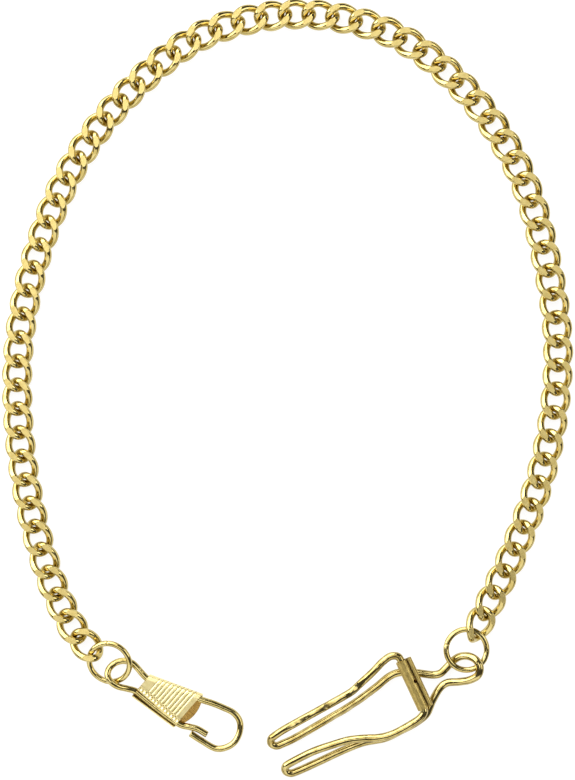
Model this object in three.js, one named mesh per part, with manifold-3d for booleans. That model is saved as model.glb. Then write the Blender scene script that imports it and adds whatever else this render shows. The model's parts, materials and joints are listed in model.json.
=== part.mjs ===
// A gentleman's pocket watch chain, laid out in an open loop: a flattened curb chain with a
// sprung snap hook for the watch at one end and a wire belt clip at the other.
// Millimetres, +Z up. The chain lies on z = 0 and X, Y are centred on the whole object.
import * as THREE from 'three';
import { mergeVertices } from 'three/addons/utils/BufferGeometryUtils.js';
import Module from 'manifold-3d';

const wasm = await Module();
wasm.setup();

const rad = THREE.MathUtils.degToRad;
const vec = (x, y, z = 0) => new THREE.Vector3(x, y, z);

// ---- driving dimensions ----------------------------------------------------------------------

// Curb links: a twisted oval of round wire, its high spots ground flat on both faces.
const LINK_COUNT = 66;
const LINK_WIRE = 1.4;
const LINK_SLACK = 0.14;
const LINK_HALF_WIDTH = 2.2;
const LINK_TWIST = rad(45);
const LINK_SQUARENESS = 2.2; // exponent of the oval: 2 is an ellipse
const CHAIN_THICKNESS = 2.7;
const LINK_SIDES = 6;
const LINK_STEPS = 12;

// Towards each jump ring the chain rises off its flats and its links roll.
const END_LENGTH = 22;
const HOOK_END = { rise: 0.6, roll: 15 };
const CLIP_END = { rise: 1.4, roll: 35 };

// Two links out of every four are joined in one node, to keep the number of nodes down.
const FIRST_PAIR = 4;
const PAIR_PERIOD = 4;
const PAIR_TOTAL = 15;
const WELD_SIZE = 0.6;

// Jump rings: round wire, cut once.
const RING_WIRE = 1.1;
const RING_CUT = rad(3);
const HOOK_RING = { radius: 3.95, tilt: 20, cut: 92, height: 1.9 };
const CLIP_RING = { radius: 3.84, tilt: 0, cut: 165, height: 2.33 };

// Snap hook. The sleeve's plan is a trapezoid with its narrow end and gate side square to each
// other; below the gate its lower wall runs on as a lip.
const HOOK_WIRE = 1.25;
const HOOK_Z = 1.0; // height of the wire inside the sleeve
const SHEET = 0.35;
const SLEEVE = {
  corner: vec(-28.3, -56.7, HOOK_Z),
  heading: -41,
  length: 9.8,
  narrow: 3.45,
  wide: 7.2,
};
const SLEEVE_HEIGHT = 2.0;
const SLEEVE_ROUND = 0.6;
const SLEEVE_OVERRUN = 3; // how far its solids are drawn past the ends before they are cut off
const HOOK_EYE = vec(-31.6, -53.2, 1.6);
const LIP = { narrow: 2.1, wide: 1.35 };

// Belt clip
const CLIP_WIRE = 1.5;
const CLIP_EYE = vec(34.0, -52.9, 2.5); // where the ring's wire runs through the eye
const CLIP_SLEEVE_TOP = vec(21.5, -51.2, 3.15);
const CLIP_SLEEVE_BOTTOM = vec(25.7, -60.2, 3.15);
const CLIP_SHEET = 0.3;
const BARREL_CLEARANCE = 0.08;
const CURL = { radius: 0.45, inset: 0.05, lift: 0.1 }; // the sheet's free edge beside the barrel

const WIRE_SIDES = 6;
const RING_STEPS = 24;
const HOOK_STEPS = 48;
const GATE_STEPS = 12;
const CLIP_BACK_STEPS = 96;
const CLIP_LEG_STEPS = 28;

const AMPLE = 20; // the size of cutting blocks that only have to be larger than what they cut

// The chain's path from the centre of the hook's ring to the centre of the clip's ring.
const ROUTE = [
  [-33.8, -51.7], [-38.3, -48.5], [-43.0, -40.7], [-47.7, -27.1], [-50.9, -8.9], [-51.0, 8.9],
  [-47.4, 26.4], [-40.8, 42.4], [-30.1, 56.6], [-15.9, 67.5], [2.0, 71.4], [20.0, 67.6],
  [34.3, 56.4], [44.0, 41.8], [49.1, 25.1], [51.4, 7.4], [49.5, -10.7], [44.0, -28.3],
  [36.3, -44.5], [33.9, -49.2],
].map(([x, y]) => vec(x, y));

// The hook's wire from its blunt tip round the hook, through the sleeve and round the eye.
const HOOK_PATH = [
  vec(-18.4, -65.4, 0.85), vec(-16.5, -66.65, 0.75), vec(-13.3, -68.3, 0.65), vec(-10.5, -67.4, 0.65),
  vec(-9.2, -65.4, 0.65), vec(-9.1, -63.1, 0.65), vec(-10.2, -61.5, 0.7), vec(-12.4, -60.35, 0.85),
  vec(-14.35, -59.55, 0.95), vec(-16.2, -58.95, HOOK_Z), vec(-21.6, -56.85, HOOK_Z),
  vec(-26.2, -55.2, HOOK_Z), vec(-27.3, -54.3, 1.0), vec(-28.6, -52.8, 1.0), vec(-29.6, -51.9, 1.0),
  vec(-31.2, -51.5, 1.05), vec(-32.8, -51.9, 1.3), vec(-33.9, -53.0, 1.7), vec(-34.1, -54.1, 2.05),
  vec(-33.6, -55.15, 2.3), vec(-32.3, -56.15, 2.05), vec(-30.6, -56.7, 1.4), vec(-28.9, -57.25, HOOK_Z),
  vec(-27.9, -58.0, HOOK_Z),
];
// The same wire's free end: the gate, from inside the sleeve to where it closes the hook.
const GATE_PATH = [
  vec(-27.6, -58.25, HOOK_Z), vec(-24.8, -60.5, HOOK_Z), vec(-21.3, -63.1, HOOK_Z),
  vec(-20.0, -63.8, 0.95), vec(-18.6, -64.1, 0.9), vec(-17.1, -64.5, 0.85), vec(-15.4, -65.5, 0.85),
];

// The belt clip's wire from the left prong's tip along z = 0, round the eye, which rises to let
// the ring's wire under it, and back to the right prong's tip.
const CLIP_Z = 0.77;
const BACK_PATH = [
  vec(-3.2, -66.7, 1.37), vec(-3.0, -67.3, 1.07), vec(-2.1, -67.7, 0.87), vec(-0.9, -67.3, CLIP_Z),
  vec(1.1, -66.4, CLIP_Z), vec(7.4, -62.8, CLIP_Z), vec(12.4, -59.8, CLIP_Z), vec(16.8, -56.6, CLIP_Z),
  vec(19.4, -54.5, CLIP_Z), vec(21.1, -53.8, CLIP_Z), vec(24.1, -53.8, CLIP_Z), vec(27.9, -54.2, CLIP_Z),
  vec(29.1, -53.9, CLIP_Z), vec(30.2, -52.9, CLIP_Z), vec(31.4, -51.6, 0.92), vec(32.6, -50.7, 1.4),
  vec(34.2, -50.4, 2.4), vec(35.6, -51.0, 3.35), vec(36.3, -52.3, 3.75), vec(36.0, -53.8, 3.55),
  vec(34.7, -54.8, 2.75), vec(32.6, -55.4, 1.55), vec(30.4, -55.7, 0.87), vec(29.2, -56.5, CLIP_Z),
  vec(27.6, -59.1, CLIP_Z), vec(26.4, -61.7, CLIP_Z), vec(24.1, -63.5, CLIP_Z), vec(21.6, -64.8, CLIP_Z),
  vec(18.7, -66.2, CLIP_Z), vec(14.3, -67.1, CLIP_Z), vec(10.5, -68.6, CLIP_Z), vec(5.8, -70.8, CLIP_Z),
  vec(2.0, -72.5, CLIP_Z), vec(0.7, -72.9, 0.87), vec(-0.2, -72.6, 1.07), vec(-0.5, -72.0, 1.37),
];
// The front legs rise from the tips' bends, dip to a kink and end inside the clip's sleeve.
const FRONT_LEFT_PATH = [
  vec(-3.0, -66.05, 1.72), vec(-2.6, -65.7, 1.9), vec(-1.1, -64.6, 2.25), vec(1.1, -63.3, 2.55),
  vec(5.2, -61.0, 2.75), vec(10.5, -58.1, 2.55), vec(12.2, -57.1, 2.3), vec(13.8, -55.6, 2.45),
  vec(16.2, -53.3, 2.85), vec(18.1, -51.3, 3.05), vec(19.6, -50.3, 3.15), vec(20.9, -50.4, 3.15),
  vec(21.6, -51.5, 3.15), vec(22.2, -52.7, 3.15), vec(22.8, -54.0, 3.15),
];
const FRONT_RIGHT_PATH = [
  vec(-0.3, -71.32, 1.74), vec(0.1, -71.0, 1.9), vec(1.6, -70.1, 2.25), vec(4.9, -68.4, 2.65),
  vec(8.3, -67.2, 2.8), vec(11.5, -66.3, 2.6), vec(14.3, -66.0, 2.45), vec(17.6, -65.8, 2.45),
  vec(20.0, -65.1, 2.6), vec(23.1, -63.4, 2.85), vec(25.2, -61.9, 3.05), vec(25.8, -60.9, 3.15),
  vec(25.6, -60.0, 3.15), vec(25.1, -58.9, 3.15), vec(24.6, -57.8, 3.15),
];

// ---- materials -------------------------------------------------------------------------------

const gold = (color, roughness) => new THREE.MeshStandardMaterial({ color, metalness: 1, roughness });
const polishedGold = gold(0xd8b65a, 0.15);
const satinGold = gold(0xe6d08c, 0.4);

// ---- curves ----------------------------------------------------------------------------------

// The centre line of one curb link: an oval along X whose plane turns from +twist to -twist.
class CurbLinkCurve extends THREE.Curve {
  constructor(halfLength) {
    super();
    this.halfLength = halfLength;
  }

  getPoint(t, target = new THREE.Vector3()) {
    const angle = 2 * Math.PI * t;
    const power = 2 / LINK_SQUARENESS;
    const along = Math.sign(Math.cos(angle)) * Math.abs(Math.cos(angle)) ** power;
    const across = LINK_HALF_WIDTH * Math.sign(Math.sin(angle)) * Math.abs(Math.sin(angle)) ** power;
    const twist = -LINK_TWIST * along;
    return target.set(this.halfLength * along, across * Math.cos(twist), across * Math.sin(twist));
  }
}

// A jump ring's centre line in the XY plane, open by the cut that it was closed at.
class CutRingCurve extends THREE.Curve {
  constructor(radius, cutAngle) {
    super();
    this.radius = radius;
    this.cutAngle = cutAngle;
  }

  getPoint(t, target = new THREE.Vector3()) {
    const angle = this.cutAngle + RING_CUT / 2 + t * (2 * Math.PI - RING_CUT);
    return target.set(this.radius * Math.cos(angle), this.radius * Math.sin(angle), 0);
  }
}

// ---- solids ----------------------------------------------------------------------------------

function solid(geometry) {
  const bare = geometry.clone();
  bare.deleteAttribute('normal');
  bare.deleteAttribute('uv');
  const welded = mergeVertices(bare, 1e-5);
  return new wasm.Manifold(new wasm.Mesh({
    numProp: 3,
    vertProperties: new Float32Array(welded.attributes.position.array),
    triVerts: new Uint32Array(welded.index.array),
  }));
}

function geometryOf(manifold) {
  const mesh = manifold.getMesh();
  const geometry = new THREE.BufferGeometry();
  geometry.setAttribute('position', new THREE.BufferAttribute(mesh.vertProperties, 3));
  geometry.setIndex(new THREE.BufferAttribute(mesh.triVerts, 1));
  return geometry;
}

function box(width, depth, height, centre = vec(0, 0)) {
  return new THREE.BoxGeometry(width, depth, height).translate(centre.x, centre.y, centre.z);
}

function wireAlong(curve, diameter, steps) {
  const section = new THREE.Shape();
  section.absarc(0, 0, diameter / 2, 0, 2 * Math.PI);
  const options = { extrudePath: curve, steps, curveSegments: WIRE_SIDES / 2, bevelEnabled: false };
  return new THREE.ExtrudeGeometry(section, options);
}

function bentWire(points, diameter, steps) {
  return wireAlong(new THREE.CatmullRomCurve3(points, false, 'centripetal'), diameter, steps);
}

function linkSolid(halfLength) {
  const curve = new CurbLinkCurve(halfLength);
  const wire = new THREE.TubeGeometry(curve, LINK_STEPS, LINK_WIRE / 2, LINK_SIDES, true);
  return solid(wire).intersect(solid(box(AMPLE, AMPLE, CHAIN_THICKNESS)));
}

// Two links of one node, one on each side of the origin, with a small weld where they touch.
function pairSolid(halfLength, pitch, bend) {
  const link = linkSolid(halfLength);
  const turn = THREE.MathUtils.radToDeg(bend / 2);
  const first = link.translate([-pitch / 2, 0, 0]).rotate([0, 0, turn]);
  const second = link.translate([pitch / 2, 0, 0]).rotate([0, 0, -turn]);
  return first.add(second).add(solid(box(WELD_SIZE, WELD_SIZE, WELD_SIZE)));
}

// ---- the chain -------------------------------------------------------------------------------

const chain = new THREE.Group();

// Each mesh is placed by where it is and by its heading, slope and roll, all in radians. The
// pivot and axis of its hinge, if it has one, are kept with it in the group's own frame.
function addPart(name, geometry, material, placing = {}) {
  const { at = vec(0, 0), heading = 0, slope = 0, roll = 0, pivot, axis } = placing;
  const mesh = new THREE.Mesh(geometry, material);
  mesh.name = name;
  mesh.position.copy(at);
  mesh.rotation.set(roll, -slope, heading, 'ZYX');
  mesh.userData = { pivot, axis };
  chain.add(mesh);
}

const route = new THREE.CatmullRomCurve3(ROUTE, false, 'centripetal');
route.arcLengthDivisions = 2000;
const routeLength = route.getLength();
const hookReach = ROUTE[0].distanceTo(ROUTE[1]);
const clipReach = ROUTE[ROUTE.length - 1].distanceTo(ROUTE[ROUTE.length - 2]);
const pitch = (routeLength - hookReach - clipReach) / (LINK_COUNT - 1);
const linkHalfLength = (pitch + LINK_WIRE + LINK_SLACK) / 2;
const linkDistance = (index) => hookReach + (index - 1) * pitch;

// How the chain lies at a distance along its route: level along its length, but rising and
// rolling over the last few links.
function station(distance) {
  const atHook = Math.max(0, 1 - distance / END_LENGTH);
  const atClip = Math.max(0, 1 - (routeLength - distance) / END_LENGTH);
  const tangent = route.getTangentAt(distance / routeLength);
  const height = CHAIN_THICKNESS / 2 + HOOK_END.rise * atHook ** 2 + CLIP_END.rise * atClip ** 2;
  return {
    at: route.getPointAt(distance / routeLength).setZ(height),
    heading: Math.atan2(tangent.y, tangent.x),
    slope: Math.atan(2 * (CLIP_END.rise * atClip - HOOK_END.rise * atHook) / END_LENGTH),
    roll: rad(HOOK_END.roll * atHook ** 2 - CLIP_END.roll * atClip ** 2),
  };
}

// The line across a part from its right to its left, or the other way with a sense of -1.
function acrossAxis({ heading, slope = 0, roll = 0 }, sense = 1) {
  return vec(0, sense).applyEuler(new THREE.Euler(roll, -slope, heading, 'ZYX'));
}

const isFirstOfPair = (index) => {
  const place = index - FIRST_PAIR;
  return place >= 0 && place % PAIR_PERIOD === 0 && place / PAIR_PERIOD < PAIR_TOTAL;
};
const twoDigits = (index) => String(index).padStart(2, '0');

// A link or a pair hinges where it touches the next one towards the clip, across the chain.
// The axes change sense two by two, so that equal angles fold the chain to and fro.
function addLinks() {
  const singleGeometry = geometryOf(linkSolid(linkHalfLength));
  let index = 1;
  for (let node = 0; index <= LINK_COUNT; node += 1) {
    const first = index;
    const last = isFirstOfPair(first) ? first + 1 : first;
    const isPair = last > first;
    const contact = station(linkDistance(last) + pitch / 2);
    const bend = station(linkDistance(first)).heading - station(linkDistance(last)).heading;
    const geometry = isPair ? geometryOf(pairSolid(linkHalfLength, pitch, bend)) : singleGeometry;
    const name = isPair ? `links_${twoDigits(first)}_${twoDigits(last)}` : `link_${twoDigits(first)}`;
    addPart(name, geometry, polishedGold, {
      ...station((linkDistance(first) + linkDistance(last)) / 2),
      pivot: contact.at,
      axis: acrossAxis(contact, (node + 1) % 4 < 2 ? 1 : -1),
    });
    index = last + 1;
  }
}
addLinks();

// ---- jump rings ------------------------------------------------------------------------------

// A ring's tilt turns it about the line from its end link to its own centre.
function addRing(name, ring, end, heading, pivot, axis) {
  const curve = new CutRingCurve(ring.radius, rad(ring.cut) - heading);
  addPart(name, wireAlong(curve, RING_WIRE, RING_STEPS), polishedGold, {
    at: end.at.clone().setZ(ring.height),
    heading,
    roll: rad(ring.tilt),
    pivot,
    axis,
  });
}

const hookRingEnd = station(0);
const clipRingEnd = station(routeLength);
const hookContact = station(linkDistance(1) - pitch / 2);
const hookRingHeading = hookRingEnd.heading + Math.PI;
const hookRingAxis = acrossAxis(hookContact);
addRing('hook_jump_ring', HOOK_RING, hookRingEnd, hookRingHeading, hookContact.at, hookRingAxis);
const clipRingHeading = clipRingEnd.heading;
const clipRingAxis = acrossAxis({ heading: clipRingHeading });
addRing('clip_jump_ring', CLIP_RING, clipRingEnd, clipRingHeading, CLIP_EYE, clipRingAxis);

// ---- snap hook -------------------------------------------------------------------------------

// The sleeve's plan, tapered along +X and drawn in by inset, running on past both ends by extra.
function sleevePlan(inset, extra) {
  const side = (narrow, wide, x) => narrow + ((wide - narrow) * x) / SLEEVE.length;
  const corner = (x, sign) => (sign > 0
    ? new THREE.Vector2(x, side(SLEEVE.narrow, SLEEVE.wide, x) - inset)
    : new THREE.Vector2(x, inset - side(LIP.narrow, LIP.wide, x)));
  const far = SLEEVE.length + extra;
  return new THREE.Shape([corner(-extra, -1), corner(far, -1), corner(far, 1), corner(-extra, 1)]);
}

function pillow(inset, extra) {
  const round = SLEEVE_ROUND - inset;
  const height = SLEEVE_HEIGHT - 2 * inset;
  const options = {
    depth: height - 2 * round,
    bevelThickness: round,
    bevelSize: round,
    bevelOffset: -round,
    bevelSegments: 3,
  };
  const block = new THREE.ExtrudeGeometry(sleevePlan(inset, extra), options);
  return solid(block.translate(0, 0, round - height / 2));
}

function hookSleeveGeometry() {
  const centre = vec(SLEEVE.length / 2, 0);
  const length = solid(box(SLEEVE.length, AMPLE, AMPLE, centre));
  // Above the lip the side is open, so that the gate's wire can be pressed in.
  const channel = solid(box(AMPLE, AMPLE, AMPLE, vec(centre.x, -AMPLE / 2, AMPLE / 2)));
  const outside = pillow(0, SLEEVE_OVERRUN);
  const inside = pillow(SHEET, 2 * SLEEVE_OVERRUN);
  return geometryOf(outside.intersect(length).subtract(inside).subtract(channel));
}

addPart('hook_sleeve', hookSleeveGeometry(), satinGold, { at: SLEEVE.corner, heading: rad(SLEEVE.heading) });
addPart('hook_wire', bentWire(HOOK_PATH, HOOK_WIRE, HOOK_STEPS), polishedGold, {
  pivot: HOOK_EYE,
  axis: acrossAxis({ heading: rad(SLEEVE.heading) }),
});
addPart('hook_gate', bentWire(GATE_PATH, HOOK_WIRE, GATE_STEPS), polishedGold, {
  pivot: GATE_PATH[0],
  axis: vec(0, 0, 1),
});

// ---- belt clip -------------------------------------------------------------------------------

addPart('clip_back_wire', bentWire(BACK_PATH, CLIP_WIRE, CLIP_BACK_STEPS), polishedGold);

const tipAxis = FRONT_RIGHT_PATH[0].clone().sub(FRONT_LEFT_PATH[0]).setZ(0).normalize();
addPart('clip_front_left_leg', bentWire(FRONT_LEFT_PATH, CLIP_WIRE, CLIP_LEG_STEPS), polishedGold, {
  pivot: FRONT_LEFT_PATH[0],
  axis: tipAxis,
});
addPart('clip_front_right_leg', bentWire(FRONT_RIGHT_PATH, CLIP_WIRE, CLIP_LEG_STEPS), polishedGold);

// The clip's sleeve: sheet rolled round the wires' ends, with its free edge curled up beside them.
function rolledSection() {
  const barrel = CLIP_WIRE / 2 + BARREL_CLEARANCE + CLIP_SHEET / 2;
  const centreLine = [];
  for (let angle = 60; angle <= 330; angle += 30) {
    centreLine.push(new THREE.Vector2(barrel * Math.cos(rad(angle)), barrel * Math.sin(rad(angle))));
  }
  const curlCentre = new THREE.Vector2(barrel + CURL.radius - CURL.inset, CURL.lift);
  for (let angle = 230; angle <= 470; angle += 40) {
    centreLine.push(new THREE.Vector2(
      curlCentre.x + CURL.radius * Math.cos(rad(angle)),
      curlCentre.y + CURL.radius * Math.sin(rad(angle)),
    ));
  }
  return centreLine;
}

// A closed outline of even thickness on both sides of an open centre line.
function sheetShape(centreLine, thickness) {
  const left = [];
  const right = [];
  centreLine.forEach((point, i) => {
    const before = centreLine[Math.max(i - 1, 0)];
    const after = centreLine[Math.min(i + 1, centreLine.length - 1)];
    const normal = after.clone().sub(before).normalize().rotateAround(new THREE.Vector2(), Math.PI / 2);
    left.push(point.clone().addScaledVector(normal, thickness / 2));
    right.push(point.clone().addScaledVector(normal, -thickness / 2));
  });
  return new THREE.Shape([...right, ...left.reverse()]);
}

const clipSleeveAxis = CLIP_SLEEVE_BOTTOM.clone().sub(CLIP_SLEEVE_TOP);
const clipSleeve = new THREE.ExtrudeGeometry(sheetShape(rolledSection(), CLIP_SHEET), {
  depth: clipSleeveAxis.length(),
  steps: 1,
  bevelEnabled: false,
});
clipSleeve.rotateX(Math.PI / 2).rotateZ(Math.PI / 2 + Math.atan2(clipSleeveAxis.y, clipSleeveAxis.x));
addPart('clip_sleeve', clipSleeve, satinGold, { at: CLIP_SLEEVE_TOP });

// ---- centre the object on its own box, standing on z = 0 --------------------------------------

chain.updateMatrixWorld(true);
const bounds = new THREE.Box3().setFromObject(chain, true);
const middle = bounds.getCenter(vec(0, 0));
chain.position.set(-middle.x, -middle.y, -bounds.min.z);

export default chain;
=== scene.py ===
"""A gilt pocket watch chain: the fine surface and the looks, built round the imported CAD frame.

Lengths in the constants are millimetres, and every mesh is made in the frame's own metres.
Curb links are placed from the frame's joints; the bent wires follow the CAD wires' paths.
"""

import json

import bmesh
import bpy
import numpy as np
from mathutils import Matrix, Vector


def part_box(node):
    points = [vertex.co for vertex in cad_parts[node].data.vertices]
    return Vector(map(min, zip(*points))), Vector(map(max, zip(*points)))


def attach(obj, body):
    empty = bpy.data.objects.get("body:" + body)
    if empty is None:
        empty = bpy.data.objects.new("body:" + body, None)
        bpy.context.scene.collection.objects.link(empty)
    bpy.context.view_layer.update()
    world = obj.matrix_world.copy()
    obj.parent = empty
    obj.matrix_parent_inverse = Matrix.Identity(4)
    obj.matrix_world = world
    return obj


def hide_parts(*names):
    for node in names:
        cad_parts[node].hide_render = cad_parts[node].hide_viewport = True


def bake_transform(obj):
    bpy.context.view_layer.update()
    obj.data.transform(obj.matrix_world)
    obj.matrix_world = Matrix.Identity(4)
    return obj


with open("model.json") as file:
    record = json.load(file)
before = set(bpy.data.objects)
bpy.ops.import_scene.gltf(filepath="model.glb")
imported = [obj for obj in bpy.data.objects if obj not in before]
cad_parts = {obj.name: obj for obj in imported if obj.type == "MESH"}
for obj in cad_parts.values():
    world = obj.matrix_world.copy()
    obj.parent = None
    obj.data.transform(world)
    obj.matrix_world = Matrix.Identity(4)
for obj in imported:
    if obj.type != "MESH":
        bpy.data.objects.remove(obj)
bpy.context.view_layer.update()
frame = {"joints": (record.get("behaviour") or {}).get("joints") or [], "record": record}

MM = 0.001

# ---- dimensions, as in the CAD ------------------------------------------------------------------

LINK_WIRE = 1.4
LINK_SLACK = 0.14
LINK_HALF_WIDTH = 2.2
LINK_TWIST = np.radians(45)
LINK_SQUARENESS = 2.2
CHAIN_THICKNESS = 2.7

RING_WIRE = 1.1
RING_CUT = np.radians(3)
HOOK_RING = {"radius": 3.95, "tilt": 20, "cut": 92}
CLIP_RING = {"radius": 3.84, "tilt": 0, "cut": 165}

HOOK_WIRE = 1.25
HOOK_Z = 1.0
SLEEVE_CORNER = (-28.3, -56.7, HOOK_Z)
SLEEVE_HEADING = np.radians(-41)
SLEEVE_LENGTH = 9.8
SLEEVE_WIDTHS = (3.45, 7.2)
LIP_WIDTHS = (2.1, 1.35)
SLEEVE_HEIGHT = 2.0
SHEET = 0.35

CLIP_WIRE = 1.5
CLIP_Z = 0.77
CLIP_SLEEVE_TOP = (21.5, -51.2, 3.15)
CLIP_SLEEVE_BOTTOM = (25.7, -60.2, 3.15)
CLIP_SHEET = 0.3
BARREL_CLEARANCE = 0.08
CURL = {"radius": 0.45, "inset": 0.05, "lift": 0.1}

# ---- fineness and small details -----------------------------------------------------------------

WIRE_SIDES = 28
LINK_STEPS = 96
RING_STEPS = 120
PATH_STEPS = 14
EDGE_SHARE = 0.2  # how much of a wire's radius its cut end is rounded over

# The hook sleeve's grooves, counted from its narrow end.
GROOVE_FIRST = 1.9
GROOVE_PITCH = 0.75
GROOVE_COUNT = 10
GROOVE_WIDTH = 0.09
GROOVE_DEPTH = 0.12
GROOVE_PAINTED_SHADE = 0.2  # painted shade: the groove is coloured dark where it is deeper than this share of its depth
GROOVE_END = GROOVE_FIRST + (GROOVE_COUNT - 1) * GROOVE_PITCH
RIB_CROWN = 0.012  # how much higher a rib is along its middle than at its edges

# Its section is a row of (across, up) points: the edge that carries the beads, the flat top from
# TOP_START, a round turn, the flat underside, the lip's turn and the lip's curled rim.
BEAD_SECTION = [
    (-0.14, 0.74), (-0.08, 0.82), (0.02, 0.88), (0.12, 0.90), (0.22, 0.89), (0.32, 0.85),
    (0.42, 0.78), (0.52, 0.73), (0.64, 0.72), (0.78, 0.76),
]
TOP_START = 0.95
TOP_POINTS = 16
TURN_ANGLES = np.radians(np.arange(75, -91, -15))
TURN_RELIEF = 0.9  # the share of the ribs' relief that the round turn keeps
UNDER_POINTS = 14
LIP_ANGLES = np.radians(np.arange(-105, -181, -15))
LIP_RIM = [(0.02, 0.12), (0.08, 0.20), (0.16, 0.23)]  # counted from the end of the lip's turn
RIM_POINTS = 8  # nearer the section's end than this, the inside gets the outside's brushed gilt instead of the painted shade
PAINTED_SHADE_TURN_POINTS = 8  # how many points of the round turn the grooves' painted shade reaches

BEAD_HEIGHT = 0.18
BEAD_PLACE = 0.12
BEAD_REACH = 0.28
SLEEVE_BULGE = 1.6  # how far the underside's wide end bulges out past the top's
BULGE_MIDDLE = 0.42  # as a share of the sleeve's width there
BULGE_HALF_WIDTH = 0.62
SLEEVE_STATIONS = 197

# The clip's legs run this way from their tips.
CLIP_HEADING = np.radians(30)

# The clip's sleeve: the angles that its barrel and its curl run through, and its notch.
BARREL_POINTS = 31
BARREL_ANGLES = (32, 330)
CURL_ANGLES = np.radians(np.arange(230, 471, 20))
NOTCH_ANGLE = 34
NOTCH_PLACE = 0.45
NOTCH_REACH = 0.035
BARREL_STATIONS = 81

# Spots where a wire was pressed flat: (place, depth as a share of the radius, reach).
LEFT_PRESSED = [((2.2, -62.7, 2.65), 0.20, 2.4), ((7.3, -59.8, 2.7), 0.24, 1.8),
                ((13.4, -56.0, 2.4), 0.24, 1.5)]
RIGHT_PRESSED = [((12.3, -66.2, 2.55), 0.24, 2.0), ((17.8, -65.8, 2.45), 0.24, 1.5),
                 ((4.5, -68.6, 2.6), 0.18, 2.4)]
BACK_PRESSED = [((9.0, -61.9, CLIP_Z), 0.30, 1.8), ((12.4, -59.8, CLIP_Z), 0.32, 1.8),
                ((15.2, -57.8, CLIP_Z), 0.26, 1.4), ((3.0, -65.3, CLIP_Z), 0.18, 1.5)]

# The deeper and the lighter tone of the plate, on the chain and the hook and then on the clip.
GOLD_DEEP = (0.48, 0.37, 0.12)
GOLD_LIGHT = (0.62, 0.51, 0.21)
CLIP_GOLD_DEEP = (0.36, 0.27, 0.085)
CLIP_GOLD_LIGHT = (0.58, 0.47, 0.19)

# ---- paths of the bent wires --------------------------------------------------------------------

# The hook's one wire: from its blunt tip round the hook, through the sleeve, round the eye and
# back out as the gate.
HOOK_PATH = [
    (-18.4, -65.4, 0.85), (-16.5, -66.65, 0.75), (-13.3, -68.3, 0.65), (-10.5, -67.4, 0.65),
    (-9.2, -65.4, 0.65), (-9.1, -63.1, 0.65), (-10.2, -61.5, 0.7), (-12.4, -60.35, 0.85),
    (-14.35, -59.55, 0.95), (-16.2, -58.95, HOOK_Z), (-21.6, -56.85, HOOK_Z),
    (-26.2, -55.2, HOOK_Z), (-27.3, -54.3, 1.0), (-28.6, -52.8, 1.0), (-29.6, -51.9, 1.0),
    (-31.2, -51.5, 1.05), (-32.8, -51.9, 1.3), (-33.9, -53.0, 1.7), (-34.1, -54.1, 2.05),
    (-33.6, -55.15, 2.3), (-32.3, -56.15, 2.05), (-30.6, -56.7, 1.4), (-28.9, -57.25, HOOK_Z),
    (-27.9, -58.0, HOOK_Z),
]
GATE_PATH = [
    (-27.6, -58.25, HOOK_Z), (-24.8, -60.5, HOOK_Z), (-21.3, -63.1, HOOK_Z), (-20.0, -63.8, 0.95),
    (-18.6, -64.1, 0.9), (-17.1, -64.5, 0.85), (-15.4, -65.5, 0.85),
]
# The belt clip's one wire: the front left leg, the back wire with its eye, the front right leg.
CLIP_FRONT_LEFT = [
    (-3.0, -66.05, 1.72), (-2.6, -65.7, 1.9), (-1.1, -64.6, 2.25), (1.1, -63.3, 2.55),
    (5.2, -61.0, 2.75), (10.5, -58.1, 2.55), (12.2, -57.1, 2.3), (13.8, -55.6, 2.45),
    (16.2, -53.3, 2.85), (18.1, -51.3, 3.05), (19.6, -50.3, 3.15), (20.9, -50.4, 3.15),
    (21.6, -51.5, 3.15), (22.2, -52.7, 3.15), (22.8, -54.0, 3.15),
]
CLIP_BACK = [
    (-3.2, -66.7, 1.37), (-3.0, -67.3, 1.07), (-2.1, -67.7, 0.87), (-0.9, -67.3, CLIP_Z),
    (1.1, -66.4, CLIP_Z), (7.4, -62.8, CLIP_Z), (12.4, -59.8, CLIP_Z), (16.8, -56.6, CLIP_Z),
    (19.4, -54.5, CLIP_Z), (21.1, -53.8, CLIP_Z), (24.1, -53.8, CLIP_Z), (27.9, -54.2, CLIP_Z),
    (29.1, -53.9, CLIP_Z), (30.2, -52.9, CLIP_Z), (31.4, -51.6, 0.92), (32.6, -50.7, 1.4),
    (34.2, -50.4, 2.4), (35.6, -51.0, 3.35), (36.3, -52.3, 3.75), (36.0, -53.8, 3.55),
    (34.7, -54.8, 2.75), (32.6, -55.4, 1.55), (30.4, -55.7, 0.87), (29.2, -56.5, CLIP_Z),
    (27.6, -59.1, CLIP_Z), (26.4, -61.7, CLIP_Z), (24.1, -63.5, CLIP_Z), (21.6, -64.8, CLIP_Z),
    (18.7, -66.2, CLIP_Z), (14.3, -67.1, CLIP_Z), (10.5, -68.6, CLIP_Z), (5.8, -70.8, CLIP_Z),
    (2.0, -72.5, CLIP_Z), (0.7, -72.9, 0.87), (-0.2, -72.6, 1.07), (-0.5, -72.0, 1.37),
]
CLIP_FRONT_RIGHT = [
    (-0.3, -71.32, 1.74), (0.1, -71.0, 1.9), (1.6, -70.1, 2.25), (4.9, -68.4, 2.65),
    (8.3, -67.2, 2.8), (11.5, -66.3, 2.6), (14.3, -66.0, 2.45), (17.6, -65.8, 2.45),
    (20.0, -65.1, 2.6), (23.1, -63.4, 2.85), (25.2, -61.9, 3.05), (25.8, -60.9, 3.15),
    (25.6, -60.0, 3.15), (25.1, -58.9, 3.15), (24.6, -57.8, 3.15),
]

joints = {joint["child"]: joint for joint in frame["joints"]}

# The paths above are in the CAD source's own frame. The gate's hinge is at its first point, which
# gives the shift from there to the row frame.
SHIFT = np.array(joints["gate"]["pos_m"]) / MM - np.array(GATE_PATH[0])

# ---- geometry helpers ---------------------------------------------------------------------------


def unit(v):
    """The rows of v, or v itself, at length 1."""
    v = np.asarray(v, float)
    return v / np.linalg.norm(v, axis=-1, keepdims=True)


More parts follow.
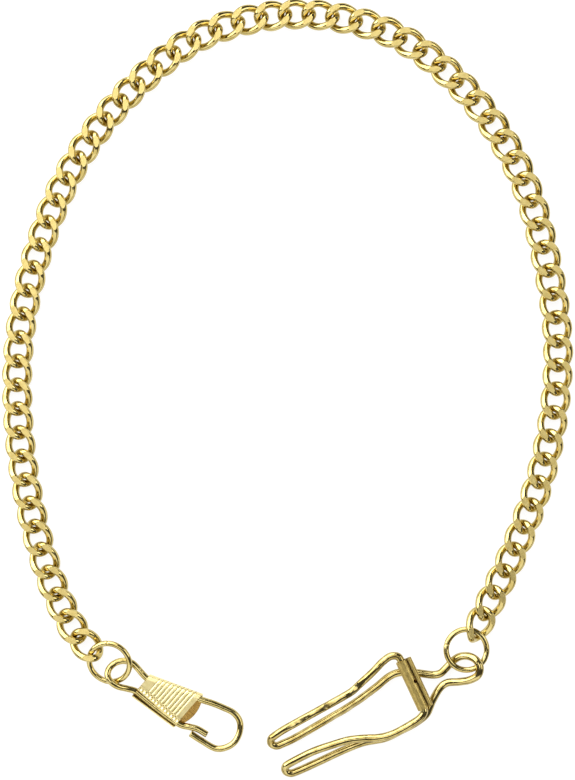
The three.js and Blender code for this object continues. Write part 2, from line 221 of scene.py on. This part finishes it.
def smooth_path(points, per_span):
    """A centripetal Catmull-Rom curve through the points, with per_span steps between each two."""
    p = np.array(points, float)
    p = np.vstack([2 * p[0] - p[1], p, 2 * p[-1] - p[-2]])
    knots = np.concatenate([[0], np.cumsum(np.linalg.norm(np.diff(p, axis=0), axis=1) ** 0.5)])
    curve = []
    for i in range(1, len(p) - 2):
        t0, t1, t2, t3 = knots[i - 1:i + 3]
        for t in np.linspace(t1, t2, per_span, endpoint=False):
            a1 = ((t1 - t) * p[i - 1] + (t - t0) * p[i]) / (t1 - t0)
            a2 = ((t2 - t) * p[i] + (t - t1) * p[i + 1]) / (t2 - t1)
            a3 = ((t3 - t) * p[i + 1] + (t - t2) * p[i + 2]) / (t3 - t2)
            b1 = ((t2 - t) * a1 + (t - t0) * a2) / (t2 - t0)
            b2 = ((t3 - t) * a2 + (t - t1) * a3) / (t3 - t1)
            curve.append(((t2 - t) * b1 + (t - t1) * b2) / (t2 - t1))
    curve.append(p[-2])
    return np.array(curve)


def travelling_frame(path):
    """Tangents and, carried along without twisting, normals that start out pointing up."""
    tangents = unit(np.gradient(path, axis=0))
    normal = np.array([0.0, 0.0, 1.0])
    normals = []
    for tangent in tangents:
        normal = unit(normal - (normal @ tangent) * tangent)
        normals.append(normal)
    return tangents, np.array(normals)


def add_mesh(name, vertices, faces, materials, smooth_angle=40):
    """A new object from millimetre vertices in the row frame, its mesh in metres."""
    mesh = bpy.data.meshes.new(name)
    mesh.from_pydata((np.asarray(vertices) * MM).tolist(), [], faces)
    for material in materials:
        mesh.materials.append(material)
    mesh.shade_smooth()
    mesh.set_sharp_from_angle(angle=np.radians(smooth_angle))
    obj = bpy.data.objects.new(name, mesh)
    bpy.context.scene.collection.objects.link(obj)
    return obj


def ring_faces(rings, sides, closed):
    """Quads that join a stack of rings, each of the same number of points."""
    faces = []
    for i in range(rings if closed else rings - 1):
        a, b = i * sides, ((i + 1) % rings) * sides
        for j in range(sides):
            k = (j + 1) % sides
            faces.append((a + j, a + k, b + k, b + j))
    return faces


def tube_rings(path, tangents, normals, radius, pressed=()):
    """The points of a round wire's rings. pressed lists (point, depth, reach) of flattened spots:
    there the wire's upper side is pressed down by a share of the radius, fading over the reach."""
    binormals = np.cross(tangents, normals)
    angle = np.linspace(0, 2 * np.pi, WIRE_SIDES, endpoint=False)
    up = np.tile(np.sin(angle), (len(path), 1))
    for point, depth, reach in pressed:
        distance = np.linalg.norm(path - (np.array(point) + SHIFT), axis=1)
        up = np.minimum(up, (1 - depth * np.exp(-((distance / reach) ** 2)))[:, None])
    across = np.cos(angle)[None, :, None] * binormals[:, None, :]
    return path[:, None, :] + radius * (across + up[:, :, None] * normals[:, None, :])


def blunt_end(ring, centre, outward):
    """The rings that round a wire's cut end over, from its last full ring outwards."""
    spokes = ring - centre
    rounding = EDGE_SHARE * np.linalg.norm(spokes[0])
    turns = np.radians([30, 60, 90])
    return [
        centre + outward * rounding * np.sin(turn)
        + spokes * (1 - EDGE_SHARE + EDGE_SHARE * np.cos(turn))
        for turn in turns
    ]


def wire_object(name, path, material, diameter, blunt=(False, False), pressed=()):
    """A wire along the path of (points, tangents, normals). A blunt end is cut, with its edge
    rounded; the other kind is left flush for the piece that carries on."""
    points, tangents, normals = path
    rings = list(tube_rings(points, tangents, normals, diameter / 2, pressed))
    if blunt[0]:
        rings = blunt_end(rings[0], points[0], -tangents[0])[::-1] + rings
    if blunt[1]:
        rings = rings + blunt_end(rings[-1], points[-1], tangents[-1])
    faces = ring_faces(len(rings), WIRE_SIDES, closed=False)
    last = (len(rings) - 1) * WIRE_SIDES
    faces.append(tuple(range(WIRE_SIDES))[::-1])
    faces.append(tuple(last + j for j in range(WIRE_SIDES)))
    return add_mesh(name, np.concatenate(rings), faces, [material])


def cut_path(path, *joins):
    """Splits a path of (points, tangents, normals) where it comes nearest to each join."""
    points = path[0]
    cuts = [0, *(int(np.argmin(np.linalg.norm(points - j, axis=1))) for j in joins), len(points) - 1]
    return [tuple(part[a:b + 1] for part in path) for a, b in zip(cuts, cuts[1:])]


# ---- materials ----------------------------------------------------------------------------------


class NodeTree:
    """A new material's nodes, added and linked by short calls."""

    def __init__(self, name):
        self.material = bpy.data.materials.new(name)
        self.material.use_nodes = True
        self.tree = self.material.node_tree
        self.shader = self.tree.nodes["Principled BSDF"]
        self.place = self.add("ShaderNodeTexCoord").outputs["Object"]

    def add(self, kind, **settings):
        node = self.tree.nodes.new(kind)
        for key, value in settings.items():
            setattr(node, key, value)
        return node

    def link(self, output, target):
        self.tree.links.new(output, target)

    def stretched(self, scale, turn=0.0):
        """The surface's place turned about Z and scaled, for noise drawn out along one way."""
        turned = self.add("ShaderNodeVectorRotate", rotation_type="Z_AXIS")
        turned.inputs["Angle"].default_value = turn
        self.link(self.place, turned.inputs["Vector"])
        scaled = self.add("ShaderNodeVectorMath", operation="MULTIPLY")
        scaled.inputs[1].default_value = scale
        self.link(turned.outputs["Vector"], scaled.inputs[0])
        return scaled.outputs["Vector"]

    def noise(self, size, detail=2.0, place=None):
        """Noise with features of about the given size in millimetres."""
        node = self.add("ShaderNodeTexNoise")
        node.inputs["Scale"].default_value = 1 / (size * MM)
        node.inputs["Detail"].default_value = detail
        self.link(place or self.place, node.inputs["Vector"])
        return node.outputs["Fac"]

    def ramp(self, value, *stops):
        """A colour ramp over (position, colour) stops."""
        node = self.add("ShaderNodeValToRGB")
        elements = node.color_ramp.elements
        for element, (position, colour) in zip(elements, stops):
            element.position = position
            element.color = (*colour, 1)
        for position, colour in stops[2:]:
            elements.new(position).color = (*colour, 1)
        self.link(value, node.inputs["Fac"])
        return node.outputs["Color"]

    def span(self, value, low, high):
        """The value's middle half spread over low to high."""
        node = self.add("ShaderNodeMapRange")
        node.inputs["From Min"].default_value = 0.3
        node.inputs["From Max"].default_value = 0.7
        node.inputs["To Min"].default_value = low
        node.inputs["To Max"].default_value = high
        self.link(value, node.inputs["Value"])
        return node.outputs["Result"]

    def bump(self, height, depth, under=None):
        """A bump of the given depth in millimetres, on top of another one if given."""
        node = self.add("ShaderNodeBump")
        node.inputs["Distance"].default_value = depth * MM
        self.link(height, node.inputs["Height"])
        if under:
            self.link(under, node.inputs["Normal"])
        return node.outputs["Normal"]


def polished_gilt(name, deep, light, wave, depth):
    """Bright plate on drawn wire: slow waves in the surface, faint cloudiness, tiny pits. wave
    is the waves' size and depth their height, in millimetres."""
    nodes = NodeTree(name)
    tone = nodes.ramp(nodes.noise(1.6, 3), (0.35, deep), (0.65, light))
    nodes.link(tone, nodes.shader.inputs["Base Color"])
    nodes.link(nodes.span(nodes.noise(0.5, 4), 0.07, 0.16), nodes.shader.inputs["Roughness"])
    waves = nodes.bump(nodes.noise(wave, 1), depth)
    nodes.link(nodes.bump(nodes.noise(0.12, 3), 0.002, waves), nodes.shader.inputs["Normal"])
    nodes.shader.inputs["Metallic"].default_value = 1
    return nodes.material


def satin_gilt(name, turn, grain, deep, light, rough):
    """Matte plate with fine scratches that run along the given turn about Z. grain is their
    width in millimetres, and rough the range of the roughness."""
    nodes = NodeTree(name)
    scratches = nodes.noise(grain, 3, nodes.stretched((0.06, 1, 1), -turn))
    blotches = nodes.noise(0.9, 3)
    mixed = nodes.add("ShaderNodeMath", operation="MULTIPLY_ADD")
    mixed.inputs[1].default_value = 0.5
    nodes.link(scratches, mixed.inputs[0])
    half = nodes.add("ShaderNodeMath", operation="MULTIPLY")
    half.inputs[1].default_value = 0.5
    nodes.link(blotches, half.inputs[0])
    nodes.link(half.outputs[0], mixed.inputs[2])
    tone = nodes.ramp(mixed.outputs[0], (0.35, deep), (0.65, light))
    nodes.link(tone, nodes.shader.inputs["Base Color"])
    nodes.link(nodes.span(scratches, *rough), nodes.shader.inputs["Roughness"])
    nodes.link(nodes.bump(scratches, 0.006), nodes.shader.inputs["Normal"])
    nodes.shader.inputs["Metallic"].default_value = 1
    return nodes.material


gilt = polished_gilt("polished_gilt", GOLD_DEEP, GOLD_LIGHT, wave=1.1, depth=0.035)
clip_gilt = polished_gilt(
    "polished_clip_gilt", CLIP_GOLD_DEEP, CLIP_GOLD_LIGHT, wave=1.8, depth=0.10)
flat_gilt = satin_gilt(
    "filed_flat_gilt", turn=np.radians(35), grain=0.08,
    deep=(0.62, 0.48, 0.16), light=(0.74, 0.60, 0.24), rough=(0.36, 0.48))
sleeve_gilt = satin_gilt(
    "brushed_sleeve_gilt", turn=SLEEVE_HEADING + np.pi / 2, grain=0.06,
    deep=(0.86, 0.71, 0.30), light=(0.98, 0.86, 0.46), rough=(0.32, 0.44))
# Painted shade: a dark brown copy of the brushed gilt, laid in the sleeve's deeper grooves in place
# of the shade that falls between their walls.
groove_painted_shade_gilt = satin_gilt(
    "painted_groove_shade_gilt", turn=SLEEVE_HEADING + np.pi / 2, grain=0.06,
    deep=(0.22, 0.15, 0.04), light=(0.36, 0.26, 0.08), rough=(0.4, 0.55))
# Painted shade with a painted orange reflection of the gold: a darker, browner gilt on the inner
# faces of the hook sleeve and of the clip's barrel, where they lie in shade.
inside_painted_shade_gilt = satin_gilt(
    "sleeve_inside_painted_shade_gilt", turn=SLEEVE_HEADING, grain=0.10,
    deep=(0.50, 0.28, 0.06), light=(0.70, 0.44, 0.12), rough=(0.22, 0.35))
barrel_gilt = satin_gilt(
    "rolled_sheet_gilt", turn=np.radians(-65), grain=0.07,
    deep=(0.40, 0.30, 0.09), light=(0.58, 0.44, 0.15), rough=(0.34, 0.50))

# ---- camera -------------------------------------------------------------------------------------

# The picture is taller than it is wide, so the sensor's width lies along the picture's height.
VIEW_HEIGHT = 148.2  # what the camera sees from top to bottom, at the chain's mid-height
LENS = 85
SENSOR = 36

camera = bpy.data.objects.new("camera", bpy.data.cameras.new("camera"))
camera.data.lens = LENS
camera.data.sensor_width = SENSOR
camera.location = (
    SHIFT[0] * MM,
    SHIFT[1] * MM,
    (VIEW_HEIGHT * LENS / SENSOR + CHAIN_THICKNESS / 2) * MM,
)
bpy.context.scene.collection.objects.link(camera)
bpy.context.scene.camera = camera

# ---- curb links ---------------------------------------------------------------------------------


def link_numbers(body):
    """The numbers of the one or two links that a body holds, or none."""
    if not body.startswith("link"):
        return []
    return [int(number) for number in body.split("_")[1:]]


def chain_contacts():
    """Where the links touch, from the hook's ring to the clip's, and the chain's left there."""
    contacts = {0: joints["hook_ring"]}
    for body, joint in joints.items():
        for number in link_numbers(body)[-1:]:
            contacts[number] = joint
    count = max(contacts)
    points = np.full((count + 1, 3), np.nan)
    axes = np.full((count + 1, 3), np.nan)
    for number, joint in contacts.items():
        points[number] = np.array(joint["pos_m"]) / MM
        axes[number] = joint["axis"]
    # The contact inside a pair has no joint: it is on the smooth line through its neighbours.
    for number in np.flatnonzero(np.isnan(points[:, 0])):
        near = points[[number - 2, number - 1, number + 1, number + 2]]
        points[number] = np.array([-1, 4, 4, -1]) @ near / 6
        axes[number] = axes[number + 1]
    ahead = np.gradient(points, axis=0)
    left = np.cross([0, 0, 1], ahead)
    senses = np.sign(np.sum(axes * left, axis=1, keepdims=True))
    return points, axes * senses


def link_places():
    """Each link's 4x4 place in millimetres: X along the chain, Y to its left, Z off its face."""
    points, left = chain_contacts()
    ends = np.vstack([2 * points[0] - points[1], points, 2 * points[-1] - points[-2]])
    places = []
    for i in range(len(points) - 1):
        along = unit(points[i + 1] - points[i])
        side = left[i] + left[i + 1]
        side = unit(side - (side @ along) * along)
        place = np.eye(4)
        place[:3, 0] = along
        place[:3, 1] = side
        place[:3, 2] = np.cross(along, side)
        place[:3, 3] = np.array([-1, 9, 9, -1]) @ ends[i:i + 4] / 16
        places.append(place)
    pitch = np.mean(np.linalg.norm(np.diff(points, axis=0), axis=1))
    return places, pitch


def link_mesh(pitch):
    """One curb link about its own centre, in millimetres: a twisted oval of round wire with its
    high spots filed flat on both faces. The flats carry the second material."""
    half_length = (pitch + LINK_WIRE + LINK_SLACK) / 2
    angle = np.linspace(0, 2 * np.pi, LINK_STEPS, endpoint=False)
    power = 2 / LINK_SQUARENESS
    along = np.sign(np.cos(angle)) * np.abs(np.cos(angle)) ** power
    across = LINK_HALF_WIDTH * np.sign(np.sin(angle)) * np.abs(np.sin(angle)) ** power
    twist = -LINK_TWIST * along
    path = np.stack([half_length * along, across * np.cos(twist), across * np.sin(twist)], axis=1)
    tangents = unit(np.roll(path, -1, axis=0) - np.roll(path, 1, axis=0))
    face = np.stack([np.zeros_like(twist), -np.sin(twist), np.cos(twist)], axis=1)
    normals = unit(face - np.sum(face * tangents, axis=1, keepdims=True) * tangents)
    rings = tube_rings(path, tangents, normals, LINK_WIRE / 2)
    faces = ring_faces(LINK_STEPS, WIRE_SIDES, closed=True)

    mesh = bpy.data.meshes.new("link")
    mesh.from_pydata(rings.reshape(-1, 3).tolist(), [], faces)
    shape = bmesh.new()
    shape.from_mesh(mesh)
    for sign in (-1, 1):
        geometry = [*shape.verts, *shape.edges, *shape.faces]
        bmesh.ops.bisect_plane(
            shape, geom=geometry, plane_co=(0, 0, sign * CHAIN_THICKNESS / 2),
            plane_no=(0, 0, sign), clear_outer=True)
        rims = [edge for edge in shape.edges if edge.is_boundary]
        for flat in bmesh.ops.holes_fill(shape, edges=rims, sides=0)["faces"]:
            flat.material_index = 1
    bmesh.ops.recalc_face_normals(shape, faces=shape.faces)
    shape.to_mesh(mesh)
    shape.free()
    mesh.materials.append(gilt)
    mesh.materials.append(flat_gilt)
    mesh.shade_smooth()
    mesh.set_sharp_from_angle(angle=np.radians(15))
    return mesh


places, pitch = link_places()
pattern = link_mesh(pitch)
to_metres = np.diag([MM, MM, MM, 1])
for body, members in frame["record"]["behaviour"]["bodies"].items():
    for number in link_numbers(body):
        mesh = pattern.copy()
        mesh.transform(Matrix((to_metres @ places[number - 1]).tolist()))
        link = bpy.data.objects.new(f"curb_link_{number:02d}", mesh)
        bpy.context.scene.collection.objects.link(link)
        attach(link, body)
        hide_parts(*members)

# ---- jump rings ---------------------------------------------------------------------------------


def jump_ring(name, node, body, ring, heading):
    """A ring of round wire, open by a hair where it was cut. It is centred on its CAD node."""
    low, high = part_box(node)
    centre = np.array((low + high) / 2) / MM
    start = np.radians(ring["cut"]) - heading + RING_CUT / 2
    angle = np.linspace(start, start + 2 * np.pi - RING_CUT, RING_STEPS)
    flat = np.stack([np.cos(angle), np.sin(angle), np.zeros_like(angle)], axis=1)
    tilt = Matrix.Rotation(np.radians(ring["tilt"]), 3, "X")
    turn = np.array(Matrix.Rotation(heading, 3, "Z") @ tilt)
    points = centre + ring["radius"] * flat @ turn.T
    tangents, _ = travelling_frame(points)
    normals = np.tile(turn[:, 2], (RING_STEPS, 1))
    piece = wire_object(name, (points, tangents, normals), gilt, RING_WIRE, blunt=(True, True))
    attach(piece, body)
    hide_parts(node)


# Each ring's tilt turns it about the line from its end link to its own centre.
contacts, _ = chain_contacts()
for body, node, ring, end in (
    ("hook_ring", "hook_jump_ring", HOOK_RING, contacts[0]),
    ("clip_ring", "clip_jump_ring", CLIP_RING, contacts[-1]),
):
    low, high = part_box(node)
    reach = np.array((low + high) / 2) / MM - end
    jump_ring(f"{body}_wire", node, body, ring, np.arctan2(reach[1], reach[0]))

# ---- snap hook ----------------------------------------------------------------------------------

whole = smooth_path(np.array(HOOK_PATH + GATE_PATH) + SHIFT, PATH_STEPS)
hook, gate = cut_path((whole, *travelling_frame(whole)), np.array(GATE_PATH[0]) + SHIFT)
hook_piece = wire_object("hook_bent_wire", hook, gilt, HOOK_WIRE, blunt=(True, False))
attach(hook_piece, "hook")
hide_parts("hook_wire")

gate_piece = wire_object("hook_gate_wire", gate, gilt, HOOK_WIRE, blunt=(False, True))
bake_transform(gate_piece)
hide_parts("hook_gate")


def sheet_object(name, outline, stations, place, thickness, materials, dress):
    """A bent sheet. outline(u) gives the (x, y, z) points of the sheet's middle at a share u of
    its length, and place moves them. dress(u, point, inside) is the number of the material at a
    share of the length and a point of the outline, on the sheet's inside or its outside."""
    middle = np.array([outline(u) for u in stations])
    runs = np.gradient(middle, axis=0)
    crosses = np.gradient(middle, axis=1)
    normals = unit(np.cross(runs, crosses))
    outer = middle + normals * thickness / 2
    inner = middle - normals * thickness / 2
    loops = np.concatenate([outer, inner[:, ::-1]], axis=1)
    rows, count = loops.shape[:2]
    half = count // 2
    faces = ring_faces(rows, count, closed=False)
    numbers = []
    for u in (stations[:-1] + stations[1:]) / 2:
        numbers += [dress(u, min(j, count - 1 - j), j >= half) for j in range(count)]
    for row, flip in ((0, 1), (rows - 1, -1)):
        base = row * count
        for j in range(half - 1):
            quad = (base + j, base + j + 1, base + count - 2 - j, base + count - 1 - j)
            faces.append(quad[::flip])
            numbers.append(0)
    vertices = loops.reshape(-1, 3) @ place[:3, :3].T + place[:3, 3]
    piece = add_mesh(name, vertices, faces, materials, smooth_angle=50)
    piece.data.polygons.foreach_set("material_index", numbers)
    return piece


def rib_phase(x):
    """How far a place along the sleeve is from the nearest groove, if grooves ran its length."""
    return (x - GROOVE_FIRST + GROOVE_PITCH / 2) % GROOVE_PITCH - GROOVE_PITCH / 2


def groove(x):
    """0 on the sleeve's plain parts and ribs, falling to -1 in its grooves."""
    if not GROOVE_FIRST - GROOVE_PITCH / 2 < x < GROOVE_END + GROOVE_PITCH / 2:
        return 0.0
    return -np.exp(-((rib_phase(x) / GROOVE_WIDTH) ** 2))


def crown(x):
    """0 at a rib's edges, rising to 1 along its middle."""
    return np.sin(np.pi * rib_phase(x) / GROOVE_PITCH) ** 2


def rib_relief(x):
    """How far the sleeve's top is above its plain ends: a groove is below them."""
    between = GROOVE_FIRST < x < GROOVE_END
    return GROOVE_DEPTH * groove(x) + RIB_CROWN * (crown(x) if between else 0.0)


def sleeve_outline(u):
    """The hook sleeve's middle surface at a share u of its length, from the beaded edge over the
    ribbed top and round under to the lip."""
    # Each point is (across, up, how much the ribs show there, how much the beads do).
    wide = SLEEVE_WIDTHS[0] + (SLEEVE_WIDTHS[1] - SLEEVE_WIDTHS[0]) * u
    lip = LIP_WIDTHS[0] + (LIP_WIDTHS[1] - LIP_WIDTHS[0]) * u
    top = (SLEEVE_HEIGHT - SHEET) / 2
    turn = top
    far = wide - SHEET / 2 - turn
    near = -lip + SHEET / 2 + turn
    section = [(y, z, 0.0, 1.0) for y, z in BEAD_SECTION]
    section += [(y, top, 1.0, 0.0) for y in np.linspace(TOP_START, far, TOP_POINTS)]
    section += [(far + turn * np.cos(a), turn * np.sin(a), TURN_RELIEF, 0.0) for a in TURN_ANGLES]
    section += [(y, -top, 0.0, 0.0) for y in np.linspace(far, near, UNDER_POINTS)[1:]]
    section += [(near + turn * np.cos(a), turn * np.sin(a), 0.0, 0.0) for a in LIP_ANGLES]
    section += [(near - turn + across, up, 0.0, 0.0) for across, up in LIP_RIM]
    points = []
    for y, z, ribbed, beaded in section:
        under = np.clip((top - z) / (2 * top), 0, 1)
        off_middle = (y / wide - BULGE_MIDDLE) / BULGE_HALF_WIDTH
        bulge = SLEEVE_BULGE * under * max(0.0, 1 - off_middle ** 2)
        x = u * (SLEEVE_LENGTH + bulge)
        relief = ribbed * rib_relief(x)
        outward = unit(np.array([max(0.0, y - far), z]))
        y, z = np.array([y, z]) + relief * outward
        z += beaded * BEAD_HEIGHT * crown(x) * np.exp(-(((y - BEAD_PLACE) / BEAD_REACH) ** 2))
        points.append((x, y, z))
    return points


SLEEVE_POINTS = len(sleeve_outline(0.0))
RIBBED_POINTS = (len(BEAD_SECTION) - 2, len(BEAD_SECTION) + TOP_POINTS + PAINTED_SHADE_TURN_POINTS)


def sleeve_dress(u, point, inside):
    """The sleeve's material numbers: 0 brushed, 1 painted shade in grooves, 2 painted shade inside.
    """
    if inside:
        return 0 if point > SLEEVE_POINTS - RIM_POINTS else 2
    ribbed = RIBBED_POINTS[0] <= point < RIBBED_POINTS[1]
    return 1 if ribbed and groove(u * SLEEVE_LENGTH) < -GROOVE_PAINTED_SHADE else 0


sleeve_place = np.eye(4)
sleeve_place[:3, :3] = np.array(Matrix.Rotation(SLEEVE_HEADING, 3, "Z"))
sleeve_place[:3, 3] = np.array(SLEEVE_CORNER) + SHIFT
sleeve = sheet_object(
    "hook_ribbed_sleeve", sleeve_outline, np.linspace(0, 1, SLEEVE_STATIONS), sleeve_place,
    SHEET, [sleeve_gilt, groove_painted_shade_gilt, inside_painted_shade_gilt], sleeve_dress)
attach(sleeve, "hook")
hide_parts("hook_sleeve")

# ---- belt clip ----------------------------------------------------------------------------------

whole = np.array(CLIP_FRONT_LEFT[::-1] + CLIP_BACK + CLIP_FRONT_RIGHT) + SHIFT
whole = smooth_path(whole, PATH_STEPS)
left_tip = np.array(CLIP_FRONT_LEFT[0]) + SHIFT
right_tip = np.array(CLIP_FRONT_RIGHT[0]) + SHIFT
left, back, right = cut_path((whole, *travelling_frame(whole)), left_tip, right_tip)
back_piece = wire_object("clip_bent_back_wire", back, clip_gilt, CLIP_WIRE, pressed=BACK_PRESSED)
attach(back_piece, "clip_back")
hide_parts("clip_back_wire")

for name, node, path, tip, blunt, pressed in (
    ("clip_left_front_wire", "clip_front_left_leg", left, left_tip, (True, False), LEFT_PRESSED),
    ("clip_right_front_wire", "clip_front_right_leg", right, right_tip, (False, True),
     RIGHT_PRESSED),
):
    piece = wire_object(name, path, clip_gilt, CLIP_WIRE, blunt=blunt, pressed=pressed)
    run = Vector((np.cos(CLIP_HEADING), np.sin(CLIP_HEADING), 0))
    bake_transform(piece)
    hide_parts(node)


def rolled_outline(u):
    """The clip sleeve's middle surface: a barrel round the wires' ends and a small curl beside
    it. The barrel's free edge lies along the curl, with one small notch in it."""
    barrel = CLIP_WIRE / 2 + BARREL_CLEARANCE + CLIP_SHEET / 2
    notch = np.exp(-(((u - NOTCH_PLACE) / NOTCH_REACH) ** 4))
    first, last = BARREL_ANGLES
    turns = np.radians(np.linspace(first + NOTCH_ANGLE * notch, last, BARREL_POINTS))
    section = [(barrel * np.cos(turn), barrel * np.sin(turn)) for turn in turns]
    centre = (barrel + CURL["radius"] - CURL["inset"], CURL["lift"])
    for turn in CURL_ANGLES:
        section.append(tuple(centre + CURL["radius"] * np.array([np.cos(turn), np.sin(turn)])))
    return [(u * clip_sleeve_length, x, z) for x, z in section]


def rolled_dress(u, point, inside):
    """The clip sleeve's material numbers: painted shade inside the barrel. Its outline runs the
    other way round, so what counts as inside is its outer side."""
    return 0 if inside or point >= BARREL_POINTS else 1


top = np.array(CLIP_SLEEVE_TOP) + SHIFT
bottom = np.array(CLIP_SLEEVE_BOTTOM) + SHIFT
clip_sleeve_length = np.linalg.norm(bottom - top)
run = unit(bottom - top)
clip_place = np.eye(4)
clip_place[:3, 0] = run
clip_place[:3, 1] = np.cross([0, 0, 1], run)
clip_place[:3, 3] = top
barrel = sheet_object(
    "clip_rolled_sleeve", rolled_outline, np.linspace(0, 1, BARREL_STATIONS), clip_place,
    CLIP_SHEET, [barrel_gilt, inside_painted_shade_gilt], rolled_dress)
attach(barrel, "clip_front")
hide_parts("clip_sleeve")

# ---- floor and light, in metres -----------------------------------------------------------------

bpy.ops.mesh.primitive_plane_add(size=12)
floor = bpy.context.object
floor.name = "floor"
paper = bpy.data.materials.new("white_paper")
paper.use_nodes = True
paper_shader = paper.node_tree.nodes["Principled BSDF"]
paper_shader.inputs["Base Color"].default_value = (0.2, 0.2, 0.2, 1)
paper_shader.inputs["Roughness"].default_value = 1
paper_shader.inputs["Emission Color"].default_value = (1, 1, 1, 1)
paper_shader.inputs["Emission Strength"].default_value = 0.88
floor.data.materials.append(paper)


def softbox(name, azimuth, elevation, width, height, brightness, distance=0.9):
    """A large soft light, aimed at the chain's middle from an azimuth counted from +X. Its
    brightness is its radiance, so that its size doesn't change how bright it looks."""
    data = bpy.data.lights.new(name, "AREA")
    data.shape = "RECTANGLE"
    data.size = width
    data.size_y = height
    data.energy = brightness * np.pi * width * height
    light = bpy.data.objects.new(name, data)
    azimuth, elevation = np.radians(azimuth), np.radians(elevation)
    level = np.cos(elevation)
    away = Vector((np.cos(azimuth) * level, np.sin(azimuth) * level, np.sin(elevation)))
    light.location = away * distance
    light.rotation_euler = away.to_track_quat("Z", "Y").to_euler()
    bpy.context.scene.collection.objects.link(light)


softbox("key", azimuth=130, elevation=35, width=1.8, height=0.9, brightness=4.3)
softbox("side", azimuth=10, elevation=38, width=0.6, height=0.4, brightness=2.6)
softbox("fill", azimuth=-105, elevation=30, width=1.8, height=0.6, brightness=1.35)
softbox("overhead", azimuth=125, elevation=84, width=0.45, height=0.45, brightness=2.0)

world = bpy.data.worlds.new("studio")
bpy.context.scene.world = world
world.use_nodes = True
world.node_tree.nodes["Background"].inputs["Color"].default_value = (1, 0.98, 0.95, 1)
world.node_tree.nodes["Background"].inputs["Strength"].default_value = 0.10

bpy.context.scene.view_settings.view_transform = "Standard"
